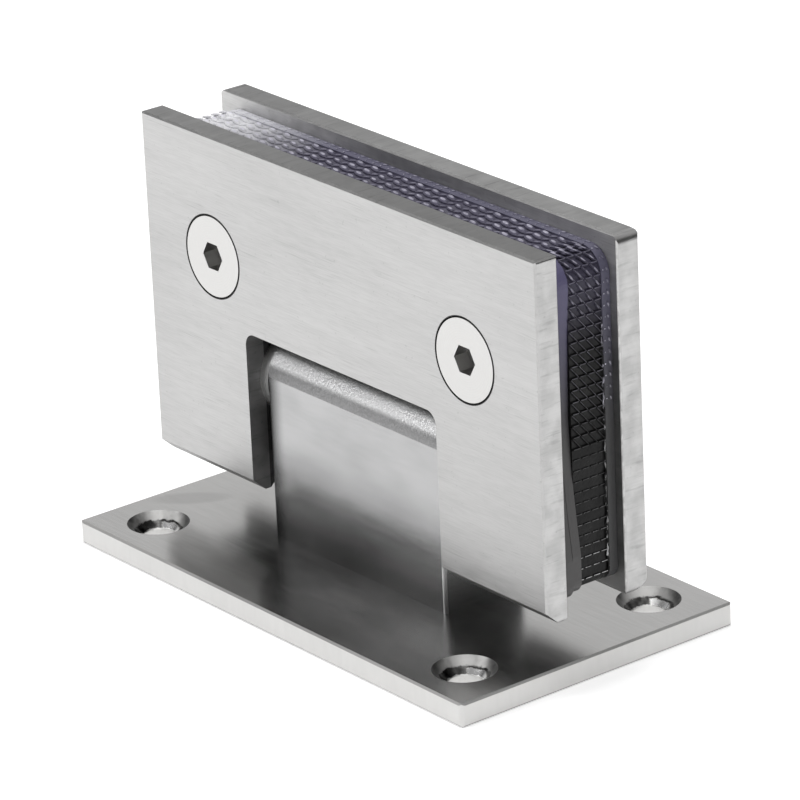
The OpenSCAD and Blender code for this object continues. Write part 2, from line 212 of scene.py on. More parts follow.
class Finish(NodeTree):
    """A material of metal or plastic, whose tone changes from place to place."""

    def __init__(self, name):
        self.material = bpy.data.materials.new(name)
        self.material.use_nodes = True
        super().__init__(self.material.node_tree)

    def place(self):
        """The point on the piece, in metres: as one vector, and x, y and z apart."""
        point = self.node("ShaderNodeTexCoord", output="Object")
        return point, self.split(point)

    def facing(self):
        """How far the surface faces along x, y and z, with no regard to the sign."""
        normal = self.node("ShaderNodeTexCoord", output="Normal")
        return [share.size() for share in self.split(normal)]

    def noise(self, point, per_mm, stretch=(1, 1, 1), turn=0.0, detail=2.0, rough=0.5):
        """Soft noise with per_mm features in a millimetre, drawn out along an axis by stretch."""
        scale = [per_mm / MM / s for s in stretch]
        inputs = {"Vector": point, "Rotation": (0.0, turn, 0.0), "Scale": scale}
        mapped = self.node("ShaderNodeMapping", {"vector_type": "POINT"}, inputs)
        inputs = {"Vector": mapped, "Scale": 1.0, "Detail": detail, "Roughness": rough}
        return self.node("ShaderNodeTexNoise", {"noise_dimensions": "3D"}, inputs)

    def mix(self, share, first, second, beyond=False):
        """A colour between two colours, or beyond the second where that is wanted."""
        first, second = [(*c, 1.0) if isinstance(c, tuple) else c for c in (first, second)]
        settings = {"data_type": "RGBA", "clamp_factor": not beyond}
        inputs = {"Factor": share, MIX_FIRST: first, MIX_SECOND: second}
        return self.node("ShaderNodeMix", settings, inputs, output=MIX_RESULT)

    def tone(self, colour, amount):
        """A colour made darker by a value below 1, and lighter by one above 1."""
        return self.mix(amount, (0.0, 0.0, 0.0), colour, beyond=True)

    def bump(self, height, depth_mm):
        """The surface's own direction, bent as by a relief of this depth."""
        inputs = {"Height": height, "Distance": depth_mm * MM, "Strength": 1.0}
        return self.node("ShaderNodeBump", inputs=inputs)

    def surface(self, **inputs):
        """The shader and the output. Names follow the shader's sockets, with _ for a space."""
        named = {key.replace("_", " "): value for key, value in inputs.items()}
        shader = self.node("ShaderNodeBsdfPrincipled", inputs=named)
        self.node("ShaderNodeOutputMaterial", inputs={"Surface": shader})
        return self.material

    def report(self, text):
        """Prints how far the tree has grown."""
        print(text + ":", len(self.nodes), "nodes")


print("a finish knows", [name.strip("_") for name, entry in vars(Finish).items() if callable(entry)])

# %% [markdown]
# Brushed steel
#
# The plates are ground on a belt, so every face carries fine scratches along one direction:
# along the spindle on the big faces, and across the thickness on the sawn ends and edges. A
# photograph of brushed steel would show its seams where faces meet. Noise in the piece's own
# space has none, and stretched to many times its length it makes the scratches. They change
# the tone most, the roughness a little, and a shallow bump bends the reflections as real
# scratches do. A few single scratches lie across them, a little out of line.

# %% Scratches that follow the belt
# A face looks along an axis once its direction's share of that axis has passed this range
FLAT_ON = (0.6, 0.8)
BELT_TURN = math.radians(3.0)
STRAY_TURN = math.radians(5.0)


def scratches(finish, point, big_face):
    """One value from 0 to 1 that varies across the belt's direction on every face."""
    fine = finish.noise(point, 5.5, stretch=(18, 1, 1), turn=BELT_TURN, detail=3.0)
    broad = finish.noise(point, 1.0, stretch=(16, 1, 1), turn=BELT_TURN)
    along = (fine * 0.65 + broad * 0.35).ramp(0.32, 0.68)
    cross = finish.noise(point, 2.4, stretch=(1, 14, 1), detail=4.0, rough=0.6).ramp(0.28, 0.72)
    return along * big_face + cross * (1 - big_face)


def single_scratches(finish, point):
    """Short scratches out of line with the rest: 1 where one lies and 0 between them."""
    where = finish.noise(point, 0.30, stretch=(3, 1, 1), turn=STRAY_TURN, detail=1.0)
    line = finish.noise(point, 6.5, stretch=(45, 1, 1), turn=STRAY_TURN, detail=1.0)
    return where.ramp(0.50, 0.62) * line.ramp(0.64, 0.72)


turns = [round(math.degrees(turn)) for turn in (BELT_TURN, STRAY_TURN)]
print("degrees that the belt and the single scratches turn", turns)

# %% [markdown]
# The clamp plates
#
# Each face of a plate has its own finish and its own light. The big faces are ground on the belt. The ends are
# sawn, blotchy and crossed by darker lines, with a ragged light edge at the inner corner. The top edges are
# painted darker than the faces, as shade: the front plate's more towards the right, the back plate's less. The
# walls of the notch face the black housing and are painted darker, as its shade, and their inner millimetre darker
# still. The inner faces are painted darker, as shade between the plates, but lighter near the open top where the
# light comes in, most at both ends. Every face could get a material of its own, but the packed mesh stays as it
# is. So one material asks of every point where it lies and which way it faces, and mixes its tone from that.

# %% Which face of a plate a point lies on
# The bevel looks down as much as outwards, so both shares have passed this range there
BEVEL = (0.45, 0.55)
# A little beyond the walls of the notch, so that its rounded edges count too
NOTCH_HALF_WIDTH = 22.6 * MM
NOTCH_TOP = 36.4 * MM
SHADE_DEPTH = 0.85 * MM
INNER_SKIN = 0.1 * MM
SCREW_HOLE_R = 6.5 * MM

plates = Finish("brushed_plate")
point, (x, y, z) = plates.place()
facing = plates.facing()
end_face, big_face, top_face = [share.ramp(*FLAT_ON) for share in facing]
bevel = facing[1].ramp(*BEVEL) * facing[2].ramp(*BEVEL)
in_notch = (x.size() < NOTCH_HALF_WIDTH) * (z < NOTCH_TOP) * (1 - big_face)
in_shade = in_notch * (y.size() < inner_y + SHADE_DEPTH)
inside = big_face * (y.size() < inner_y + INNER_SKIN)
across = x.size() - screw_x
up = z - screw_z
in_hole = (across * across + up * up < SCREW_HOLE_R**2) * (y < 0.0)
plates.report("faces of the plates")

# %% Marks of belt, saw and hands on the plates
streak = scratches(plates, point, big_face)
single = single_scratches(plates, point)
nick = plates.noise(point, 1.6, detail=1.0).ramp(0.70, 0.76)
cloud = plates.noise(point, 0.05, stretch=(2, 1, 1), detail=1.0)
smear = plates.noise(point, 0.4, stretch=(5, 1, 1), turn=BELT_TURN)
mottle = plates.noise(point, 0.35, detail=3.0).ramp(0.3, 0.7)
blotch = plates.noise(point, 0.13, stretch=(2, 1, 1), detail=4.0, rough=0.65).ramp(0.35, 0.65)
jag = plates.noise(point, 1.5, stretch=(1, 1, 2)).ramp(0.42, 0.58)
end_line = plates.noise(point, 1.8, stretch=(1, 9, 1)).ramp(0.58, 0.68)
edge_line = plates.noise(point, 0.8, stretch=(1, 9, 1), detail=3.0, rough=0.7).ramp(0.38, 0.62)
deep_line = plates.noise(point, 1.8, stretch=(1, 12, 1), detail=1.0).ramp(0.64, 0.72)
plates.report("with their marks")

# %% Tone of the outer faces, the ends and the top edges
INNER_CORNER = (0.08 * MM, 0.30 * MM)
TOWARDS_RIGHT = (-40 * MM, 10 * MM)

level = 0.93 + (streak - 0.5) * (0.14 - end_face * 0.04)
level = level + (cloud - 0.5) * 0.14 + (smear - 0.5) * 0.10
level = level - single * big_face * 0.14 - nick * 0.12

corner = end_face * (y.size() - inner_y).fade(*INNER_CORNER)
level = level + (mottle - 0.5) * end_face * 0.20 + corner * (jag * 0.60 - 0.18)
level = level - end_line * end_face * 0.13

edge_marks = (edge_line - 0.5) * 0.07 + (mottle - 0.5) * 0.10 - deep_line * 0.16
level = level + edge_marks * top_face
# Painted shade: the top edges are darkened, towards the right the front plate's more and the back plate's less
darker = 0.42 + x.ramp(*TOWARDS_RIGHT) * ((y < 0.0) * 0.25 - 0.13)
level = level * (1 - top_face * darker)
plates.report("with the outer tones")

# %% Tone of the notch, the holes and the inner faces
LEFT_END = (-20 * MM, -4 * MM)
RIGHT_END = (2 * MM, 40 * MM)
OPEN_TOP = (front_high.z - 20 * MM, front_high.z - 6 * MM)

# Painted shade: the notch walls are darkened, their inner millimetre more, as the black housing shades them, and
# the screw holes almost black, as the shade in the gap round each screw head
level = level * (1 - in_notch * 0.45) * (1 - in_shade * 0.70)
level = level * (1 - in_hole * 0.95) * (1 - bevel * 0.12)

# Painted shade and light: the inner faces are darkened as shade between the plates, and less so near the open top,
# most at the left end and towards the right end, where light comes in
lighter = 0.16 + x.fade(*LEFT_END) * (0.26 + blotch * 0.30) + x.ramp(*RIGHT_END) * 0.45
painted_light_and_shade = 0.52 - mottle * 0.10 - z.ramp(*OPEN_TOP) * lighter
level = level * (1 - inside * painted_light_and_shade)
plates.report("with all tones")

# %% Steel of the plates
PLATE_COLOUR = (0.515, 0.513, 0.51)
PLATE_RELIEF_MM = 0.005

roughness = 0.34 + (streak - 0.5) * 0.10
roughness = roughness + top_face * 0.12 + inside * 0.2 + in_notch * 0.26
plate_steel = plates.surface(
    Base_Color=plates.tone(PLATE_COLOUR, level),
    Metallic=1.0,
    Roughness=roughness,
    Normal=plates.bump(streak * (1 - end_face * 0.7) - single * 0.6, PLATE_RELIEF_MM),
)
plates.report(plate_steel.name)

# %% [markdown]
# The base plate
#
# The base is ground finer than the clamp, so its top is nearly a mirror at a low angle. It was handled: there is a
# smear near the left hole, and the edges are worn. The middle in front of the knuckle is painted darker, as the
# dark reflection it shows there. The countersinks are bare turned steel. Light falls into them from one side, so
# each shows a light rim, a dark ring below it, and a bright gleam that runs down the cone into the bright bore. A
# finer cone under a small lamp would give that gleam, but the mesh stays, and the lamp would mark everything else.
# So the rings and the gleam are painted: the rings by the distance from the hole's middle, and the gleam by the
# direction.

# %% Which part of the base a point lies on
COUNTERSINK_R = 4.75 * MM
FACING_UP = 0.98
# An edge is neither upright nor level, so its share of z lies between these ranges
EDGE_RISE = (0.2, 0.4)
EDGE_FALL = (0.9, 0.97)
hole_rows = next(m for m in frame["record"]["mounts"] if m["name"] == "base_holes")["dims"]
hole_x = hole_rows["spacing_x_mm"] * MM / 2
hole_y = hole_rows["spacing_y_mm"] * MM / 2

base = Finish("brushed_base")
point, (x, y, _) = base.place()
facing = base.facing()
top = facing[2].ramp(*FLAT_ON)
across = x.size() - hole_x
along = y.size() - hole_y
off_hole = (across * across + along * along) ** 0.5
in_hole = (off_hole < COUNTERSINK_R) * (facing[2] < FACING_UP)
edge_wear_and_shade = facing[2].band(EDGE_RISE, EDGE_FALL) * (1 - in_hole)
base.report("holes in mm " + str(in_mm((hole_x, hole_y))) + ", parts of the base")

# %% Painted light in the countersinks: rings and gleam
RIM_R = (3.55 * MM, 3.8 * MM)
RIM_RAG = 0.15 * MM
BORE_R = (2.5 * MM, 2.7 * MM)
BORE_RAG = 0.1 * MM
SIDE_WALLS = (2.6 * MM, 4.3 * MM)
GLEAM_RISE = (0.1 * MM, 0.5 * MM)
GLEAM_FALL = (2.5 * MM, 3.2 * MM)
GLEAM_R = (3.3 * MM, 3.5 * MM)
GLEAM_RAG = 0.2 * MM
GLEAM_CLIMB = 1.5 * MM
# The direction to the right in the photo, along x and along y
RIGHT_X = 0.61
RIGHT_Y = 0.79

worn = base.noise(point, 0.9, detail=3.0, rough=0.6).ramp(0.35, 0.65)
rim = (off_hole + worn * RIM_RAG).ramp(*RIM_R)
bore = (off_hole - worn * BORE_RAG).fade(*BORE_R)
# How far to the right of its hole a point lies in the photo
beside = across * x.sign() * RIGHT_X + along * y.sign() * RIGHT_Y
side_walls = beside.size().ramp(*SIDE_WALLS)
gleam = beside.band(GLEAM_RISE, GLEAM_FALL) * (1 - bore)
gleam = gleam * (off_hole + worn * GLEAM_RAG).fade(*GLEAM_R)
gleam = gleam * beside.ramp(0.0, GLEAM_CLIMB, 0.9, 2.8)
# Painted light and shade: a dark ring, a light rim except on the side walls, a bright bore and the gleam; only the
# worn noise is the steel's own
turned = 0.08 + worn * 0.12 + rim * (1 - side_walls) * 0.62 + bore * 0.90 + gleam
base.report("with the countersinks")

# %% Grain, smear and a painted dark reflection on the base
SMEAR_X = -40 * MM
SMEAR_Y = -8 * MM
SMEAR_LENGTH = 6.5 * MM
SMEAR_WIDTH = 2.4 * MM
SMEAR_FADE = (0.3, 1.2)
DARK_REFLECTION_RISE = (-24 * MM, -8 * MM)
DARK_REFLECTION_FALL = (12 * MM, 26 * MM)

fine = base.noise(point, 3.4, stretch=(26, 1, 1), detail=3.0).ramp(0.30, 0.70)
side = base.noise(point, 0.9, stretch=(1, 1, 4), detail=3.0).ramp(0.2, 0.8)
grain = fine * top + side * (1 - top) * 0.5
cloud = base.noise(point, 0.06)
wiped = base.noise(point, 0.10, stretch=(2, 1, 1), detail=3.0).ramp(0.35, 0.65)
from_x = x - SMEAR_X
from_y = y - SMEAR_Y
smear_along = (from_x * RIGHT_X + from_y * RIGHT_Y) / SMEAR_LENGTH
smear_across = (from_y * RIGHT_X - from_x * RIGHT_Y) / SMEAR_WIDTH
smear = (smear_along * smear_along + smear_across * smear_across).fade(*SMEAR_FADE)
dark_reflection = x.band(DARK_REFLECTION_RISE, DARK_REFLECTION_FALL) * (y < 0.0)
base.report("with the grain and stains")

# %% Steel of the base
BASE_COLOUR = (0.68, 0.675, 0.665)
BASE_RELIEF_MM = 0.0009

level = 0.93 + (grain - 0.5) * 0.07 + (cloud - 0.5) * 0.12 + (wiped - 0.5) * top * 0.06
# Painted reflection: the middle of the top in front of the knuckle is darkened
level = level * (1 - smear * top * 0.14) * (1 - dark_reflection * top * 0.22) * (1 - top * 0.14)
level = level * (1 - in_hole) + turned * in_hole
level = level * (1 - edge_wear_and_shade * 0.30)
roughness = (0.19 + (fine - 0.5) * 0.03 + wiped * 0.06) * top + 0.40 * (1 - top)
hole_roughness = 0.15 + worn * 0.12 + rim * 0.25 + bore * 0.20
roughness = roughness * (1 - in_hole) + hole_roughness * in_hole + edge_wear_and_shade * 0.35
base_steel = base.surface(
    Base_Color=base.tone(BASE_COLOUR, level),
    Metallic=1.0,
    Roughness=roughness,
    Normal=base.bump(grain * (1 - in_hole) + worn * in_hole * 3, BASE_RELIEF_MM),
)
base.report(base_steel.name)

# %% [markdown]
# The knuckle
#
# Two finishes meet on one block. The flat faces are ground like the plates, and the round top is blasted with fine
# beads, which leaves a soft, even sparkle. The border lies just above the height of the spindle, where the flat
# face turns into the round. The block could be cut in two there, but the real one only changes its skin, so a mask
# by the height above the spindle does it. Three bands of light and shade are painted with it: a bright waist on
# the flat, a bright belly on the round, and a darker crown. The left side of the flat is painted darker too, as
# shade, and so are the side edges of the flat, which dims the light line they catch.

# %% Painted bands of light and shade on the knuckle
swing = next(j for j in frame["joints"] if j["name"] == "door_swing")
axis_z = swing["pos_m"][2]
foot_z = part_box("knuckle")[0].z
BLASTED_FROM = (axis_z + 1.15 * MM, axis_z + 1.30 * MM)
BELLY_RISE = (2.5 * MM, 3.4 * MM)
BELLY_FALL = (4.3 * MM, 5.1 * MM)
CROWN_FROM = (4.6 * MM, 5.5 * MM)
WAIST_RISE = (1.0 * MM, 7.0 * MM)
WAIST_FALL = (8.5 * MM, 14.0 * MM)
LEFT_SIDE = (-19.8 * MM, -16.2 * MM)
SIDE_EDGE_RISE = (0.05, 0.15)

knuckle = Finish("knuckle_steel")
point, (x, _, z) = knuckle.place()
facing = knuckle.facing()
blasted = z.ramp(*BLASTED_FROM)
ground = 1 - blasted
belly = (z - axis_z).band(BELLY_RISE, BELLY_FALL)
crown = (z - axis_z).ramp(*CROWN_FROM)
waist = (z - foot_z).band(WAIST_RISE, WAIST_FALL)
left_side = x.fade(*LEFT_SIDE) * facing[1]
edge_wear_and_shade = facing[0].band(SIDE_EDGE_RISE, EDGE_FALL) * ground
knuckle.report("spindle at " + str(in_mm([axis_z])) + " mm, bands of the knuckle")

# %% Steel of the knuckle
KNUCKLE_COLOUR = (0.43, 0.43, 0.433)
KNUCKLE_RELIEF_MM = 0.03

streak = scratches(knuckle, point, facing[1].ramp(*FLAT_ON))
smear = knuckle.noise(point, 0.14, stretch=(2, 1, 1), turn=-BELT_TURN * 4).ramp(0.3, 0.7)
grain = knuckle.noise(point, 2.4, detail=3.0, rough=0.65).ramp(0.25, 0.75)
sparkle = knuckle.noise(point, 4.0).ramp(0.56, 0.72)
# Painted light: a bright waist low on the flat. Painted shade: the left side of the flat darker
ground_level = 0.95 + (streak - 0.5) * 0.08 + (smear - 0.5) * 0.14 + waist * 0.85
ground_level = ground_level * (1 - left_side * 0.72)
# Painted light and shade on the round: a bright belly with more sparkle, and a darker crown
blasted_level = 0.69 + (grain - 0.5) * 0.16 + sparkle * (0.10 + belly * 0.45)
blasted_level = blasted_level + belly * 0.90 - crown * 0.16
# Painted shade: the side edges of the knuckle's flat are darkened, which dims the light line they catch
level = (ground_level * ground + blasted_level * blasted) * (1 - edge_wear_and_shade * 0.30)
roughness = (0.215 + (streak - 0.5) * 0.03) * ground + 0.42 * blasted + edge_wear_and_shade * 0.25
knuckle_steel = knuckle.surface(
    Base_Color=knuckle.tone(KNUCKLE_COLOUR, level),
    Metallic=1.0,
    Roughness=roughness,
    Normal=knuckle.bump(streak * 0.012 * ground + grain * blasted, KNUCKLE_RELIEF_MM),
)
knuckle.report(knuckle_steel.name)

# %% [markdown]
# The clamp screws
#
# The screws are turned on a lathe, which leaves rings round their own axis. The rings could
# be cut into the mesh, at the cost of many thin faces. Here a sine of the distance from the
# axis draws them, as tone and as a very shallow bump. The two screws stand at equal distances
# left and right of the middle, so the size of x gives both the same rings.

# %% Rings round the clamp screws
RING_PITCH = 0.36 * MM
SOCKET_SKIN = 0.12 * MM
SCREW_COLOUR = (0.63, 0.625, 0.615)
SCREW_RELIEF_MM = 0.0012

screws = Finish("clamp_screw_steel")
point, (x, y, z) = screws.place()
across = x.size() - screw_x
up = z - screw_z
distance = (across * across + up * up) ** 0.5
phase = distance * (2 * math.pi / RING_PITCH)
rings = screws.node("ShaderNodeMath", {"operation": "SINE"}, {0: phase})
grain = screws.noise(point, 2.4, detail=3.0)
socket = y > screw_low.y + SOCKET_SKIN
# Painted shade: the hex socket is darkened, as the shade in its recess
level = (0.95 + rings * 0.012 + (grain - 0.5) * 0.06) * (1 - socket * 0.2)
clamp_screw_steel = screws.surface(
    Base_Color=screws.tone(SCREW_COLOUR, level),
    Metallic=1.0,
    Roughness=0.30 + (grain - 0.5) * 0.08,
    Normal=screws.bump(rings, SCREW_RELIEF_MM),
)
screws.report(clamp_screw_steel.name)

# %% [markdown]
# Plain metals
#
# The pieces inside hardly show. The small screws and the housing are blackened, the spindle
# and its washers are ground bright, the springs are drawn wire, and the bushes are bronze.
# They differ in colour, roughness and grain alone, so one recipe with three or four numbers
# serves them all.


# %% One recipe for the plain metals
def plain_metal(name, colour, roughness, grain_per_mm=2.0):
    finish = Finish(name)
    point, _ = finish.place()
    grain = finish.noise(point, grain_per_mm, detail=3.0)
    return finish.surface(
        Base_Color=finish.tone(colour, 0.9 + (grain - 0.5) * 0.25),
        Metallic=1.0,
        Roughness=roughness + (grain - 0.5) * 0.15,
        Normal=finish.bump(grain, 0.004),
    )


inner_screw_steel = plain_metal("inner_screw_steel", (0.22, 0.22, 0.23), 0.42)
turned_steel = plain_metal("turned_steel", (0.68, 0.68, 0.675), 0.40)
spring_steel = plain_metal("spring_steel", (0.50, 0.50, 0.52), 0.35)
bush_bronze = plain_metal("bush_bronze", (0.66, 0.47, 0.24), 0.35)
housing_steel = plain_metal("housing_steel", (0.03, 0.03, 0.029), 0.5, grain_per_mm=1.2)
plain_metals = (inner_screw_steel, turned_steel, spring_steel, bush_bronze, housing_steel)
print("plain metals", [material.name for material in plain_metals])

# %% [markdown]
# The plastic of the sheets
#
# Seven soft plastic sheets pad the glass. The plastic is dark where little light gets in,
# violet towards the open top, and milky at the top left, where the light shines through it.
# A see-through shader would find all this by itself, but it is slow, and it loses the knurl in the depth of the
# stack. So the depth is painted: a mix of three colours by height and side. The crests of the knurl are painted
# pale, as highlights, which change with height and with the kind of crest. Each crest's face carries a value named
# glint, which says what kind of crest it is.

# %% Depth of the plastic
MILKY_X = (-43 * MM, -14 * MM)
MILKY_Z = (front_high.z - 14 * MM, front_high.z - 3 * MM)
LIT_TO = front_high.z - 4 * MM
STRAIGHT, BURR, LUMP, SLANTED = 1.0, 0.8, 0.6, 0.3


def plastic_tone(finish, point, x, z, lit_from, colours):
    """Dark in the depth, violet near the open top, milky at the top left. And its clouds."""
    dark, violet, milky = colours
    cloud = finish.noise(point, 0.45).ramp(0.3, 0.7)
    left = x.fade(*MILKY_X) * z.ramp(*MILKY_Z)
    colour = finish.mix(z.ramp(lit_from, LIT_TO), dark, violet)
    return finish.mix(left * (0.75 + cloud * 0.25), colour, milky), cloud


def glint_of(finish):
    """The value that the crests of the knurl carry, 0 elsewhere."""
    return finish.node("ShaderNodeAttribute", {"attribute_name": "glint"}, output="Fac")


print("milky to the left of", in_mm(MILKY_X), "and above", in_mm(MILKY_Z))

# %% Smooth plastic
BACK_SHEET = (2 * MM, 4 * MM)
SMOOTH_LIT_FROM = front_low.z + 24 * MM

smooth = Finish("clear_gasket")
point, (x, y, z) = smooth.place()
at_back = y.ramp(*BACK_SHEET)
dark = smooth.mix(at_back, (0.085, 0.083, 0.083), (0.068, 0.068, 0.069))
violet = smooth.mix(at_back, (0.115, 0.105, 0.19), (0.115, 0.11, 0.16))
milky = (0.72, 0.72, 0.75)
pale_violet = (0.62, 0.60, 0.70)
tone, cloud = plastic_tone(smooth, point, x, z, SMOOTH_LIT_FROM, (dark, violet, milky))
fine = smooth.noise(point, 2.2, detail=3.0)
# Painted highlight: faces that carry a glint, the dots and dents on the back sheet, are paled
crest = glint_of(smooth) * (0.25 + cloud * 0.75)
clear_plastic = smooth.surface(
    Base_Color=smooth.mix(crest, tone, pale_violet),
    Roughness=0.38 + (fine - 0.5) * 0.2,
    IOR=1.45,
    Specular_IOR_Level=0.35,
    Normal=smooth.bump(fine, 0.03),
)
smooth.report(clear_plastic.name)

# %% Tone of the knurled plastic
gasket_low, gasket_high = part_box("gasket_knurled_1")
KNURLED_LIT_FROM = front_high.z - 17 * MM
ON_TOP = (gasket_high.z - 0.40 * MM, gasket_high.z - 0.05 * MM)

knurled = Finish("knurled_gasket")
point, (x, _, z) = knurled.place()
dark = (0.006, 0.006, 0.006)
violet = (0.066, 0.061, 0.092)
light_violet = (0.125, 0.118, 0.175)
milky = (0.84, 0.84, 0.86)
tone, cloud = plastic_tone(knurled, point, x, z, KNURLED_LIT_FROM, (dark, violet, milky))
# Painted light: the tops of the lumps on the stack's top are lighter violet, except at the milky left end
on_top = z.ramp(*ON_TOP) * x.ramp(*MILKY_X)
tone = knurled.mix(on_top * 0.45, tone, light_violet)
knurled.report("tone of the knurled plastic")

# %% Which crest a point lies on
# Each threshold lies between the glints of two kinds of crest
glint = glint_of(knurled)
above_burr = glint.ramp(0.90, 0.95)
above_lump = glint.ramp(0.70, 0.75)
above_slanted = glint.ramp(0.50, 0.55)
above_none = glint.ramp(0.15, 0.20)
straight = above_burr
burr = above_lump - above_burr
lump = above_slanted - above_lump
slanted = above_none - above_slanted
print("crests", {"straight": STRAIGHT, "burr": BURR, "lump": LUMP, "slanted": SLANTED})

# %% Knurled plastic, its crests painted pale as highlights
FOOT_FADE = (front_low.z + 3 * MM, front_low.z + 10 * MM)
MIDDLE = (front_low.z + 6 * MM, front_low.z + 22 * MM)
UPPER = (front_low.z + 22 * MM, front_low.z + 34 * MM)
CROWN = (front_high.z - 13 * MM, front_high.z - 5 * MM)

foot = z.ramp(*FOOT_FADE, 0.95, 0.0)
middle = z.ramp(*MIDDLE, 0.30, 0.08)
upper = z.ramp(*UPPER)
crown = z.ramp(*CROWN, 0.10, 0.46)
fine = knurled.noise(point, 1.3, detail=3.0, rough=0.6).ramp(0.3, 0.7)
patch = knurled.noise(point, 0.35, detail=1.0).ramp(0.35, 0.65)
torn = knurled.noise(point, 1.1).ramp(0.44, 0.58)
# Painted highlights: the crests are paled by kind and height, straight ones most at the foot, lumps at the crown,
# the burr in broken bits
pale = straight * (foot + middle + upper * 0.08) + slanted * (0.03 + upper * 0.15)
pale = pale + lump * crown + burr * torn * (foot * 0.5 + 0.55)
pale_grey = (0.70, 0.70, 0.71)
pale_violet = (0.64, 0.62, 0.73)
painted_light_and_shade = knurled.mix(upper, pale_grey, pale_violet)
knurled_plastic = knurled.surface(
    Base_Color=knurled.mix(pale * (0.25 + fine * 0.75 + patch * 0.5), tone, painted_light_and_shade),
    Roughness=0.36 + (cloud - 0.5) * 0.2,
    IOR=1.45,
    Specular_IOR_Level=0.22,
    Normal=knurled.bump(fine, 0.03),
)
knurled.report(knurled_plastic.name)

# %% [markdown]
# Dressing the packed pieces
#
# The record names a material for every piece, as a drawing does. The finish for each name
# could be picked by hand, piece by piece, but a table is safer: a name that has no finish
# stops the script. The base is of the same material as the clamp plates, so it gets its
# finer finish after the others.

# %% Finishes on the packed pieces
FINISH_OF_SLOT = {
    "brushed_plate": plate_steel,
    "knuckle_steel": knuckle_steel,
    "clamp_screw_steel": clamp_screw_steel,
    "inner_screw_steel": inner_screw_steel,
    "turned_steel": turned_steel,
    "spring_steel": spring_steel,
    "bush_bronze": bush_bronze,
    "housing_steel": housing_steel,
    "clear_gasket": clear_plastic,
    "knurled_gasket": knurled_plastic,
}


def dress(piece, material):
    piece.data.materials.clear()
    piece.data.materials.append(material)


for part in frame["record"]["subparts"]:
    dress(nodes[part["node"]], FINISH_OF_SLOT[part["material_slot"]])
dress(nodes["base_plate"], base_steel)
print("dressed", len(nodes), "packed pieces")

# %% [markdown]
# The outline of a sheet
#
# Each sheet is a U in the plane of the glass, with round outer corners and a cut-out round
# the housing. It could be a box with another box taken out, but then the loose ends would
# stay straight. So the outline is written as points: arcs joined by straight runs. An inset
# gives the smaller outline that the core of a knurled sheet needs, and waves move the ends.

# %% Outline points
OUTER_R = 4 * MM
FOOT_R = 2.2 * MM
INNER_R = 3 * MM
TOE_R = 0.6 * MM
CUT_HALF_WIDTH = 33 * MM
CUT_TOP_Z = 50 * MM


def arc(centre_x, centre_z, radius, start, end, steps):
    """Points of an arc, with its angles in degrees."""
    turn = math.radians(end - start)
    first = math.radians(start)
    angles = [first + turn * i / steps for i in range(steps + 1)]
    return [(centre_x + radius * math.cos(a), centre_z + radius * math.sin(a)) for a in angles]


def mirrored(points):
    """The same line on the left, in an order that keeps its outer side."""
    return [(-x, z) for x, z in reversed(points)]


def sheet_outline(low, high, inset, waves=()):
    """A U-shaped sheet in X and Z. Waves are (height above the foot, step outwards) of its ends."""
    outer = OUTER_R - inset
    inner = INNER_R + inset
    side_x, foot_z, top_z = high.x - inset, low.z + inset, high.z - inset
    cut_x, cut_z = CUT_HALF_WIDTH + inset, CUT_TOP_Z + inset
    half = arc(cut_x - inner, cut_z - inner, inner, 90, 0, 6)
    half += arc(cut_x + TOE_R, foot_z + TOE_R, TOE_R, 180, 270, 4)
    end_x = side_x + (waves[0][1] if waves else 0.0)
    half += arc(end_x - FOOT_R, foot_z + FOOT_R, FOOT_R, 270, 360, 8)
    half += [(side_x + step, foot_z + height) for height, step in waves]
    half += arc(side_x - outer, top_z - outer, outer, 0, 90, 10)
    return half + mirrored(half)


sheet_t = gasket_high.y - gasket_low.y
plain_outline = sheet_outline(gasket_low, gasket_high, 0)
print("outline", len(plain_outline), "points, sheet", in_mm([sheet_t]), "mm thick")


# %% A flat solid from an outline
def mesh_object(name, bm, material):
    """An object from the shape that was built in bm, with its faces turned outwards."""
    bmesh.ops.recalc_face_normals(bm, faces=bm.faces)
    mesh = bpy.data.meshes.new(name)
    bm.to_mesh(mesh)
    bm.free()
    mesh.materials.append(material)
    made = bpy.data.objects.new(name, mesh)
    bpy.context.scene.collection.objects.link(made)
    return made


def slab(bm, points, y0, y1):
    """A flat-sided solid between y0 and y1."""
    front = [bm.verts.new((x, y0, z)) for x, z in points]
    back = [bm.verts.new((x, y1, z)) for x, z in points]
    bm.faces.new(front)
    bm.faces.new(list(reversed(back)))
    for i in range(len(points)):
        j = (i + 1) % len(points)
        bm.faces.new((front[i], front[j], back[j], back[i]))


print("a slab of this outline has", len(plain_outline) + 2, "faces")

# %% [markdown]
# One pitch of the knurl
#
# The knurl on a sheet's edge is a net of low ridges: one runs straight across the edge, and
# one runs slanting from this straight ridge to the next. Neighbouring sheets carry the same
# net, so the slanting ridges go on from sheet to sheet and close the meshes. A bump could
# fake it, but the net shows against the light at the sheets' corners, so it is cut as solid
# ridges: prisms with a narrow crest, whose crest face carries the glint. Towards the foot
# only short straight ridges are left. On top the net swells into soft slanting lumps with a
# lower lump across between them, and the back sheet took dots and dents from its neighbour.

# %% Ridges
RIDGE_ROOT = -0.05 * MM
# A ring runs foot, foot, crest, crest, so its third side is the crest
CREST_SIDE = 2


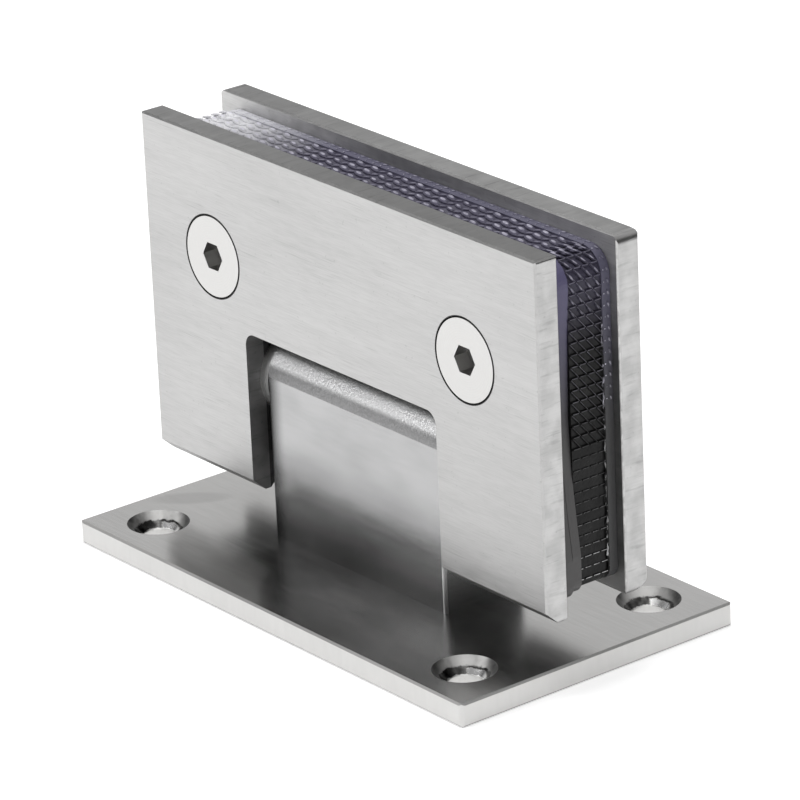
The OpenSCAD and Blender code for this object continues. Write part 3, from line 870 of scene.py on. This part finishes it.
def ridge(bm, layer, start, end, root, crest, height, trim, glint):
    """A prism from start to end, flat on the strip, with its crest trimmed at both ends."""
    start, end = Vector(start), Vector(end)
    along = (end - start).normalized()
    side = Vector((-along.y, along.x))
    rings = []
    for point, step in ((start, trim), (end, -trim)):
        top = point + along * step
        feet = [point + side * root, point - side * root]
        tops = [top - side * crest, top + side * crest]
        low = [bm.verts.new((p.x, p.y, RIDGE_ROOT)) for p in feet]
        high = [bm.verts.new((p.x, p.y, height)) for p in tops]
        rings.append(low + high)
    first, last = rings
    bm.faces.new(first)
    bm.faces.new(list(reversed(last)))
    for i in range(len(first)):
        j = (i + 1) % len(first)
        face = bm.faces.new((first[i], first[j], last[j], last[i]))
        if i == CREST_SIDE:
            face[layer] = glint


def ridge_piece(name, *ridges):
    """One or more ridges as an object."""
    bm = bmesh.new()
    layer = bm.faces.layers.float.new("glint")
    for shape in ridges:
        ridge(bm, layer, *shape)
    return mesh_object(name, bm, knurled_plastic)


print("ridges reach", in_mm([-RIDGE_ROOT]), "mm into the core")

# %% Soft lumps
PILLOW_STEPS = 10


def pillow(bm, layer, start, end, half_width, height, glint):
    """A soft lump from start to end: a crown of two rings over a pointed oval."""
    start, end = Vector((*start, 0)), Vector((*end, 0))
    middle, reach = (start + end) / 2, (end - start) / 2
    side = Vector((-reach.y, reach.x, 0)).normalized() * half_width
    angles = [2 * math.pi * i / PILLOW_STEPS for i in range(PILLOW_STEPS)]
    rings = []
    for share, lift in ((1.0, RIDGE_ROOT), (0.86, height * 0.55), (0.50, height * 0.95)):
        points = [middle + (reach * math.cos(a) + side * math.sin(a)) * share for a in angles]
        rings.append([bm.verts.new((p.x, p.y, lift)) for p in points])
    top = bm.verts.new((middle.x, middle.y, height))
    bm.faces.new(list(reversed(rings[0])))
    for low, high in zip(rings, rings[1:]):
        for i in range(PILLOW_STEPS):
            j = (i + 1) % PILLOW_STEPS
            bm.faces.new((low[i], low[j], high[j], high[i])).smooth = True
    for i in range(PILLOW_STEPS):
        face = bm.faces.new((rings[2][i], rings[2][(i + 1) % PILLOW_STEPS], top))
        face[layer] = glint
        face.smooth = True


def pillow_piece(name, start, end, half_width, height, glint):
    """A lump as an object. Its start and end are given in millimetres."""
    bm = bmesh.new()
    layer = bm.faces.layers.float.new("glint")
    start = [share * MM for share in start]
    end = [share * MM for share in end]
    pillow(bm, layer, start, end, half_width, height, glint)
    return mesh_object(name, bm, knurled_plastic)


print("a lump has", PILLOW_STEPS * 3 + 1, "faces")

# %% Pieces of one pitch
KNURL_PITCH = 1.69 * MM
CORE_INSET = 0.42 * MM
RIDGE_H = 0.30 * MM
half_t = sheet_t / 2
tip = half_t - 0.12 * MM

# A ridge: start, end, half width at the root and at the crest, height, trim, glint
across = ((0, -half_t), (0, half_t), 0.20 * MM, 0.06 * MM, RIDGE_H, 0.2 * MM, STRAIGHT)
slant_end = (KNURL_PITCH, half_t)
slant = ((0, -half_t), slant_end, 0.18 * MM, 0.04 * MM, RIDGE_H * 0.8, 0.05 * MM, SLANTED)
rung = ((0, -tip), (0, tip), 0.10 * MM, 0.05 * MM, RIDGE_H * 0.5, 0.05 * MM, STRAIGHT)
dot_ends = ((0, half_t - 0.36 * MM), (0, half_t - 0.04 * MM))
dot = (*dot_ends, 0.15 * MM, 0.10 * MM, 0.10 * MM, 0.05 * MM, STRAIGHT)

net_piece = ridge_piece("knurl_net", across, slant)
rung_piece = ridge_piece("knurl_rung", rung)
dot_piece = ridge_piece("knurl_dot", dot)
# A lump: start and end in millimetres, half width, height, glint
lump_piece = pillow_piece("knurl_lump", (-1.6, 0.46), (1.6, -0.46), 0.60 * MM, CORE_INSET, LUMP)
bend_piece = pillow_piece("knurl_bend", (-0.85, -0.55), (0.85, 0.55), 0.26 * MM, RIDGE_H, LUMP)
cross_piece = pillow_piece("knurl_cross", (-0.80, -0.55), (0.80, 0.55), 0.36 * MM, 0.28 * MM, SLANTED)
dent_piece = pillow_piece("knurl_dent", (-0.60, -0.55), (0.60, -0.05), 0.26 * MM, 0.13 * MM, LUMP)
single_pieces = (net_piece, rung_piece, lump_piece, bend_piece, cross_piece, dot_piece, dent_piece)
print("faces a piece", {piece.name: len(piece.data.polygons) for piece in single_pieces})

# %% [markdown]
# The tree that repeats the knurl
#
# The knurl follows the outline of the sheet, round its corner too. Copies could be placed by
# a loop, but following a line is what Geometry Nodes do well: the tree samples the line at
# the knurl's pitch, turns one piece to the line's direction and outwards, and sets it on
# every sample, each a little smaller by chance, as the tool's wear leaves them. It ends by
# making the copies real and giving them their plastic. Then the row is kept as a plain mesh,
# which can be joined to its sheet. The knurled and the smooth sheets use the same tree.

# %% The sockets of the tree
SIZES_OF_A_ROW = ("Pitch", "Shift", "Size Spread")


def knurl_group():
    """An empty group that takes a line and a piece, and gives a row."""
    group = bpy.data.node_groups.new("knurl_row", "GeometryNodeTree")
    sockets = [("Geometry", "Geometry", "INPUT"), ("Piece", "Object", "INPUT")]
    sockets += [(name, "Float", "INPUT") for name in SIZES_OF_A_ROW]
    sockets += [("Geometry", "Geometry", "OUTPUT")]
    for name, kind, side in sockets:
        group.interface.new_socket(name, in_out=side, socket_type="NodeSocket" + kind)
    return group


print("sizes of a row", SIZES_OF_A_ROW)

# %% The nodes of the tree
THROUGH_GLASS = (0.0, 1.0, 0.0)
SIZE_SEED = 11


def knurl_tree(material):
    """A tree that samples the line, turns the piece outwards and sets it on every sample."""
    group = knurl_group()
    rows = NodeTree(group)

    def given(name):
        return rows.node("NodeGroupInput", output=name)

    line = rows.node("GeometryNodeMeshToCurve", inputs={"Mesh": given("Geometry")})
    spacing = {"Curve": line, "Length": given("Pitch")}
    samples = rows.node("GeometryNodeResampleCurve", {"mode": "LENGTH"}, spacing)
    tangent = rows.node("GeometryNodeInputTangent")
    step = {0: tangent, "Scale": given("Shift")}
    shift = rows.node("ShaderNodeVectorMath", {"operation": "SCALE"}, step)
    moved = rows.node("GeometryNodeSetPosition", inputs={"Geometry": samples, "Offset": shift})

    crossed = {0: THROUGH_GLASS, 1: tangent}
    outward = rows.node("ShaderNodeVectorMath", {"operation": "CROSS_PRODUCT"}, crossed)
    align = "FunctionNodeAlignRotationToVector"
    along = rows.node(align, {"axis": "X"}, {"Vector": tangent})
    aim = {"Rotation": along, "Vector": outward}
    turned = rows.node(align, {"axis": "Z", "pivot_axis": "X"}, aim)
    least = 1 - given("Size Spread")
    sizes = {2: least, 3: 1.0, "Seed": SIZE_SEED}
    size = rows.node("FunctionNodeRandomValue", {"data_type": "FLOAT"}, sizes, output=1)

    shape = rows.node("GeometryNodeObjectInfo", inputs={0: given("Piece")}, output="Geometry")
    copies = {"Points": moved, "Instance": shape, "Rotation": turned, "Scale": size}
    placed = rows.node("GeometryNodeInstanceOnPoints", inputs=copies)
    real = rows.node("GeometryNodeRealizeInstances", inputs={"Geometry": placed})
    skin = {"Geometry": real, "Material": material}
    done = rows.node("GeometryNodeSetMaterial", inputs=skin)
    rows.node("NodeGroupOutput", inputs={"Geometry": done})
    return group


knurled_rows = knurl_tree(knurled_plastic)
smooth_rows = knurl_tree(clear_plastic)
print("trees", [(tree.name, len(tree.nodes)) for tree in (knurled_rows, smooth_rows)])


# %% Running the tree on a line of points
def knurl_row(points, y, piece, pitch, shift=0.0, spread=0.0, tree=knurled_rows):
    """Repeats the piece along the points in the plane y, as one plain mesh."""
    mesh = bpy.data.meshes.new("row")
    line = [(i, i + 1) for i in range(len(points) - 1)]
    mesh.from_pydata([(x, y, z) for x, z in points], line, [])
    made = bpy.data.objects.new("row", mesh)
    bpy.context.scene.collection.objects.link(made)
    modifier = made.modifiers.new("nodes", "NODES")
    modifier.node_group = tree
    sockets = {i.name: i.identifier for i in tree.interface.items_tree if i.in_out == "INPUT"}
    values = {"Piece": piece, "Pitch": pitch, "Shift": shift, "Size Spread": spread}
    for name, value in values.items():
        modifier[sockets[name]] = value
    bpy.context.view_layer.update()
    evaluated = made.evaluated_get(bpy.context.evaluated_depsgraph_get())
    plain = bpy.data.meshes.new_from_object(evaluated)
    made.modifiers.remove(modifier)
    made.data = plain
    return made


def join(name, pieces):
    """One object from several."""
    bpy.ops.object.select_all(action="DESELECT")
    for piece in pieces:
        piece.select_set(True)
    bpy.context.view_layer.objects.active = pieces[0]
    bpy.ops.object.join()
    pieces[0].name = name
    return pieces[0]


row_sockets = [item.identifier for item in knurled_rows.interface.items_tree]
print("sockets of a row", row_sockets)

# %% [markdown]
# The burr
#
# The knife that cut the last knurled sheet left a thread of torn plastic on its rear edge.
# It glitters as a broken pale line up both ends of the stack. Noise on the edge would stay
# flat, so the burr is a real thread: a thin tube of six sides whose thickness and place
# change by chance at every half millimetre, from a fixed seed.

# %% A thread of burr
BURR_R = 0.12 * MM
BURR_STEP = 0.5 * MM
BURR_SIDES = 6
chance = random.Random(5)


def burr_line(points, y, reach):
    """A thin uneven thread of plastic along the points, in the plane y."""
    bm = bmesh.new()
    layer = bm.faces.layers.float.new("glint")
    angles = [2 * math.pi * i / BURR_SIDES for i in range(BURR_SIDES)]
    rings = []
    for x, z in points:
        radius = BURR_R * chance.uniform(0.35, 1.5)
        centre = Vector((x, y + chance.uniform(-reach, reach), z))
        ring = [centre + Vector((math.cos(a), math.sin(a), 0)) * radius for a in angles]
        rings.append([bm.verts.new(p) for p in ring])
    for low, high in zip(rings, rings[1:]):
        for i in range(BURR_SIDES):
            j = (i + 1) % BURR_SIDES
            face = bm.faces.new((low[i], low[j], high[j], high[i]))
            face[layer] = BURR
            face.smooth = True
    bm.faces.new(rings[0])[layer] = BURR
    bm.faces.new(rings[-1])[layer] = BURR
    return mesh_object("burr", bm, knurled_plastic)


print("burr's radius and step in mm", in_mm((BURR_R, BURR_STEP)))

# %% [markdown] Four knurled sheets  The four sheets in the middle of the stack are knurled
# round their edge. Each is a plain core, cut a ridge's height smaller all round, with its
# knurl set on in rows: short rungs up the lower half of the ends, the net from there round
# the corner with soft lumps between, and big lumps and lower crosses in turn along the top.
# The rows could be one long row, but each part of the edge has its own kind of crest.

# %% Rows of one sheet
RUNG_TOP = front_low.z + 24 * MM
LUMPS_FROM = front_high.z - 11 * MM
RUNG_PITCH = 1.62 * MM


def knurl_rows(low, high):
    """The knurl round the edge of a sheet, row by row."""
    y = (low.y + high.y) / 2
    end_x, top_z = high.x - CORE_INSET, high.z - CORE_INSET
    bend = arc(high.x - OUTER_R, high.z - OUTER_R, OUTER_R - CORE_INSET, 0, 90, 10)
    foot_line = [(end_x, low.z + FOOT_R), (end_x, RUNG_TOP)]
    bend_line = [(end_x, RUNG_TOP)] + bend
    lump_line = [(end_x, LUMPS_FROM)] + bend
    top_line = [(high.x - OUTER_R, top_z), (low.x + OUTER_R, top_z)]
    half, double = KNURL_PITCH / 2, 2 * KNURL_PITCH
    rows = []
    for line in (foot_line, mirrored(foot_line)):
        rows.append(knurl_row(line, y, rung_piece, RUNG_PITCH, spread=0.15))
    for line in (bend_line, mirrored(bend_line)):
        rows.append(knurl_row(line, y, net_piece, KNURL_PITCH))
    for line in (lump_line, mirrored(lump_line)):
        rows.append(knurl_row(line, y, bend_piece, KNURL_PITCH, shift=half, spread=0.3))
    rows.append(knurl_row(top_line, y, lump_piece, double, spread=0.35))
    rows.append(knurl_row(top_line, y, cross_piece, double, shift=KNURL_PITCH, spread=0.2))
    return rows


print("rungs up to", in_mm([RUNG_TOP]), "mm, lumps from", in_mm([LUMPS_FROM]), "mm")

# %% Knurled sheets
KNURLED_SHEETS = 4

for number in range(1, KNURLED_SHEETS + 1):
    node = f"gasket_knurled_{number}"
    low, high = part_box(node)
    bm = bmesh.new()
    bm.faces.layers.float.new("glint")
    slab(bm, sheet_outline(low, high, CORE_INSET), low.y, high.y)
    pieces = [mesh_object("core", bm, knurled_plastic)] + knurl_rows(low, high)
    if number == KNURLED_SHEETS:
        steps = int((LUMPS_FROM - low.z - FOOT_R) / BURR_STEP)
        edge = [(high.x - BURR_R * 1.5, low.z + FOOT_R + i * BURR_STEP) for i in range(steps)]
        for line in (edge, mirrored(edge)):
            pieces.append(burr_line(line, high.y - 2 * BURR_R, BURR_R))
    sheet = join(f"knurled_sheet_{number}", pieces)
    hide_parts(node)
    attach(sheet, "clamp")
    print(sheet.name, len(sheet.data.polygons), "faces")

# %% [markdown]
# Three smooth sheets
#
# The smooth sheets are cut by hand, a little uneven: the two at the front are not quite the
# same length, draw back half-way up, and their loose ends spread a millimetre beyond the
# knurled ones at the foot. A simulation would be too much for so stiff a sheet, so the wave
# is written into the outline. The one at the back took a row of dots and dents from its
# knurled neighbour. They run up its ends from half-way and over the top.

# %% Marks that the knurl left on the back sheet
SMOOTH_INSET = 0.15 * MM
DOTS_FROM = front_low.z + 30 * MM


def knurl_marks(low, high):
    """Dots and dents along the upper edge of a smooth sheet."""
    y = (low.y + high.y) / 2
    side_x, top_z = high.x - SMOOTH_INSET, high.z - SMOOTH_INSET
    corner = arc(high.x - OUTER_R, high.z - OUTER_R, OUTER_R - SMOOTH_INSET, 0, 90, 10)
    edge = [(side_x, DOTS_FROM)] + corner + [(0.0, top_z)]
    marks = []
    for line in (edge, mirrored(edge)):
        for piece, spread in ((dot_piece, 0.5), (dent_piece, 0.4)):
            marks.append(knurl_row(line, y, piece, KNURL_PITCH, spread=spread, tree=smooth_rows))
    return marks


print("dots from", in_mm([DOTS_FROM]), "mm up")

# %% Smooth sheets
WAVE_IN_MM = ((6, 1.0), (12, 0.2), (18, -0.5), (26, -0.9), (38, -0.5))
LOOSE_END = [(height * MM, step * MM) for height, step in WAVE_IN_MM]
SMOOTH_SHEETS = (
    ("gasket_smooth_1", LOOSE_END, 0.0),
    ("gasket_smooth_2", LOOSE_END, 0.5 * MM),
    ("gasket_smooth_3", (), 0.3 * MM),
)

for node, waves, lift in SMOOTH_SHEETS:
    low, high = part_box(node)
    low.z += lift
    bm = bmesh.new()
    slab(bm, sheet_outline(low, high, SMOOTH_INSET, waves), low.y, high.y)
    pieces = [mesh_object("sheet", bm, clear_plastic)]
    if not waves:
        pieces += knurl_marks(low, high)
    sheet = join(node.replace("gasket_smooth", "smooth_sheet"), pieces)
    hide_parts(node)
    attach(sheet, "clamp")
    print(sheet.name, len(sheet.data.polygons), "faces")

# %% The single pieces have served
for piece in single_pieces:
    bpy.data.objects.remove(piece)

# %% [markdown] The floor  Polished and brushed steel has hardly a tone of its own: it shows
# what stands opposite. The upright faces look down on a white table. Lamps alone would let
# it go grey away from them, so it also glows a little, like a light table, and stays white
# right up to the hinge.

# %% Floor
TABLE_WHITE = (0.85, 0.85, 0.85)
TABLE_GLOW = 0.45
TABLE_HALF = 4.0

table = Finish("floor")
point, _ = table.place()
cloud = table.noise(point, 0.01, detail=1.0)
table_skin = table.surface(
    Base_Color=table.tone(TABLE_WHITE, 0.98 + (cloud - 0.5) * 0.02),
    Roughness=0.9,
    Emission_Color=(1.0, 1.0, 1.0, 1.0),
    Emission_Strength=TABLE_GLOW,
)
bm = bmesh.new()
bmesh.ops.create_grid(bm, x_segments=1, y_segments=1, size=TABLE_HALF)
floor = mesh_object("floor", bm, table_skin)
floor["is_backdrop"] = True
print("floor", 2 * TABLE_HALF, "m wide")

# %% [markdown]
# The light
#
# The hinge stands under one large soft lamp, with a weaker one on the left and a small one
# at the front that lifts the faces towards the camera. Sharp lamps would leave hard spots on
# steel, so all three are broad areas, far away for the size of the hinge.

# %% Lights
AIM = Vector((0.0, 0.0, 30.0 * MM))


def area_light(name, place, size, power):
    """A square soft light that looks at the middle of the hinge."""
    data = bpy.data.lights.new(name, "AREA")
    data.shape = "RECTANGLE"
    data.size = size
    data.size_y = size
    data.energy = power
    made = bpy.data.objects.new(name, data)
    bpy.context.scene.collection.objects.link(made)
    made.location = place
    made.rotation_euler = (AIM - Vector(place)).to_track_quat("-Z", "Y").to_euler()
    return made


area_light("top_box", place=(0.0, 0.05, 1.2), size=0.9, power=9.0)
area_light("left_box", place=(-0.75, -0.2, 1.1), size=0.6, power=2.2)
area_light("front_box", place=(-0.42, -0.84, 0.48), size=0.35, power=3.0)
print("lights", [made.name for made in bpy.data.lights])

# %% [markdown]
# The studio walls
#
# The base plate and the knuckle's foot mirror the walls: grey behind the hinge, lighter high
# up on the right, and dark on the left. Real walls in the scene would do, and would have to
# be built, lit and kept out of the picture. A sky whose brightness changes with the direction
# gives the same reflections and can't get in the way.

# %% Walls as a sky
WALL_BEHIND = (0.35, 0.85)
WALL_BEHIND_TOP = (0.45, 0.75)
WALL_BESIDE = (0.1, 0.6)
WALL_BESIDE_FOOT = (0.42, 0.6)
CEILING = (0.45, 0.7)
# The direction of the wall beside, along x and along y
BESIDE_X = 0.8
BESIDE_Y = 0.6

world = bpy.data.worlds.new("studio")
world.use_nodes = True
sky = NodeTree(world.node_tree)
x, y, z = sky.split(sky.node("ShaderNodeTexCoord", output="Generated"))
behind = (x * -RIGHT_Y + y * RIGHT_X).ramp(*WALL_BEHIND) * (1 - z.ramp(*WALL_BEHIND_TOP))
beside = (x * BESIDE_X + y * BESIDE_Y).ramp(*WALL_BESIDE) * z.ramp(*WALL_BESIDE_FOOT)
grey = 0.05 + behind * 0.70 + beside * 0.30 + z.ramp(*CEILING) * 0.2
shine = sky.node("ShaderNodeBackground", inputs={"Color": (1, 1, 1, 1), "Strength": grey})
sky.node("ShaderNodeOutputWorld", inputs={"Surface": shine})
bpy.context.scene.world = world
print("sky", len(sky.nodes), "nodes")

# %% [markdown]
# The camera
#
# The camera was fitted to the corners of the hinge in the photo: it looks down by about 22
# degrees from the front right, from less than a metre away, with a long lens. A camera that
# is placed by eye comes close, but only a fitted one lets edge lie on edge. Its place is
# given as two angles and a distance, with a small step aside and a small roll.

# %% Camera
AZIMUTH = math.radians(52.24)
ELEVATION = math.radians(21.84)
ROLL = math.radians(-2.556)
DISTANCE = 783.6 * MM
SIDE_STEP = 1.322 * MM
UP_STEP = -1.161 * MM
FOCAL_PIXELS = 5438.9
IMAGE_PIXELS = 800
SENSOR = 36.0
NEAREST = 0.01
FARTHEST = 20.0

flat = math.cos(ELEVATION)
back = Vector((math.sin(AZIMUTH) * flat, -math.cos(AZIMUTH) * flat, math.sin(ELEVATION)))
level_right = Vector((math.cos(AZIMUTH), math.sin(AZIMUTH), 0))
level_up = back.cross(level_right)
right = level_right * math.cos(ROLL) + level_up * math.sin(ROLL)
up = level_up * math.cos(ROLL) - level_right * math.sin(ROLL)
lens = bpy.data.cameras.new("camera")
lens.sensor_width = SENSOR
lens.lens = FOCAL_PIXELS / IMAGE_PIXELS * SENSOR
lens.clip_start = NEAREST
lens.clip_end = FARTHEST
camera = bpy.data.objects.new("camera", lens)
place = AIM + right * SIDE_STEP + up * UP_STEP + back * DISTANCE
turn = Matrix((right, up, back)).transposed().to_4x4()
camera.matrix_world = Matrix.Translation(place) @ turn
bpy.context.scene.collection.objects.link(camera)
bpy.context.scene.camera = camera
bpy.context.scene.view_settings.view_transform = "Standard"
print("camera at", [round(v, 4) for v in place], "lens", round(lens.lens, 1))

# %% [markdown] Sizes and the end  Dressing must not change the hinge's size.

# %% Sizes after dressing
low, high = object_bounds()
print("visual box in mm", in_mm((*low, *high)))
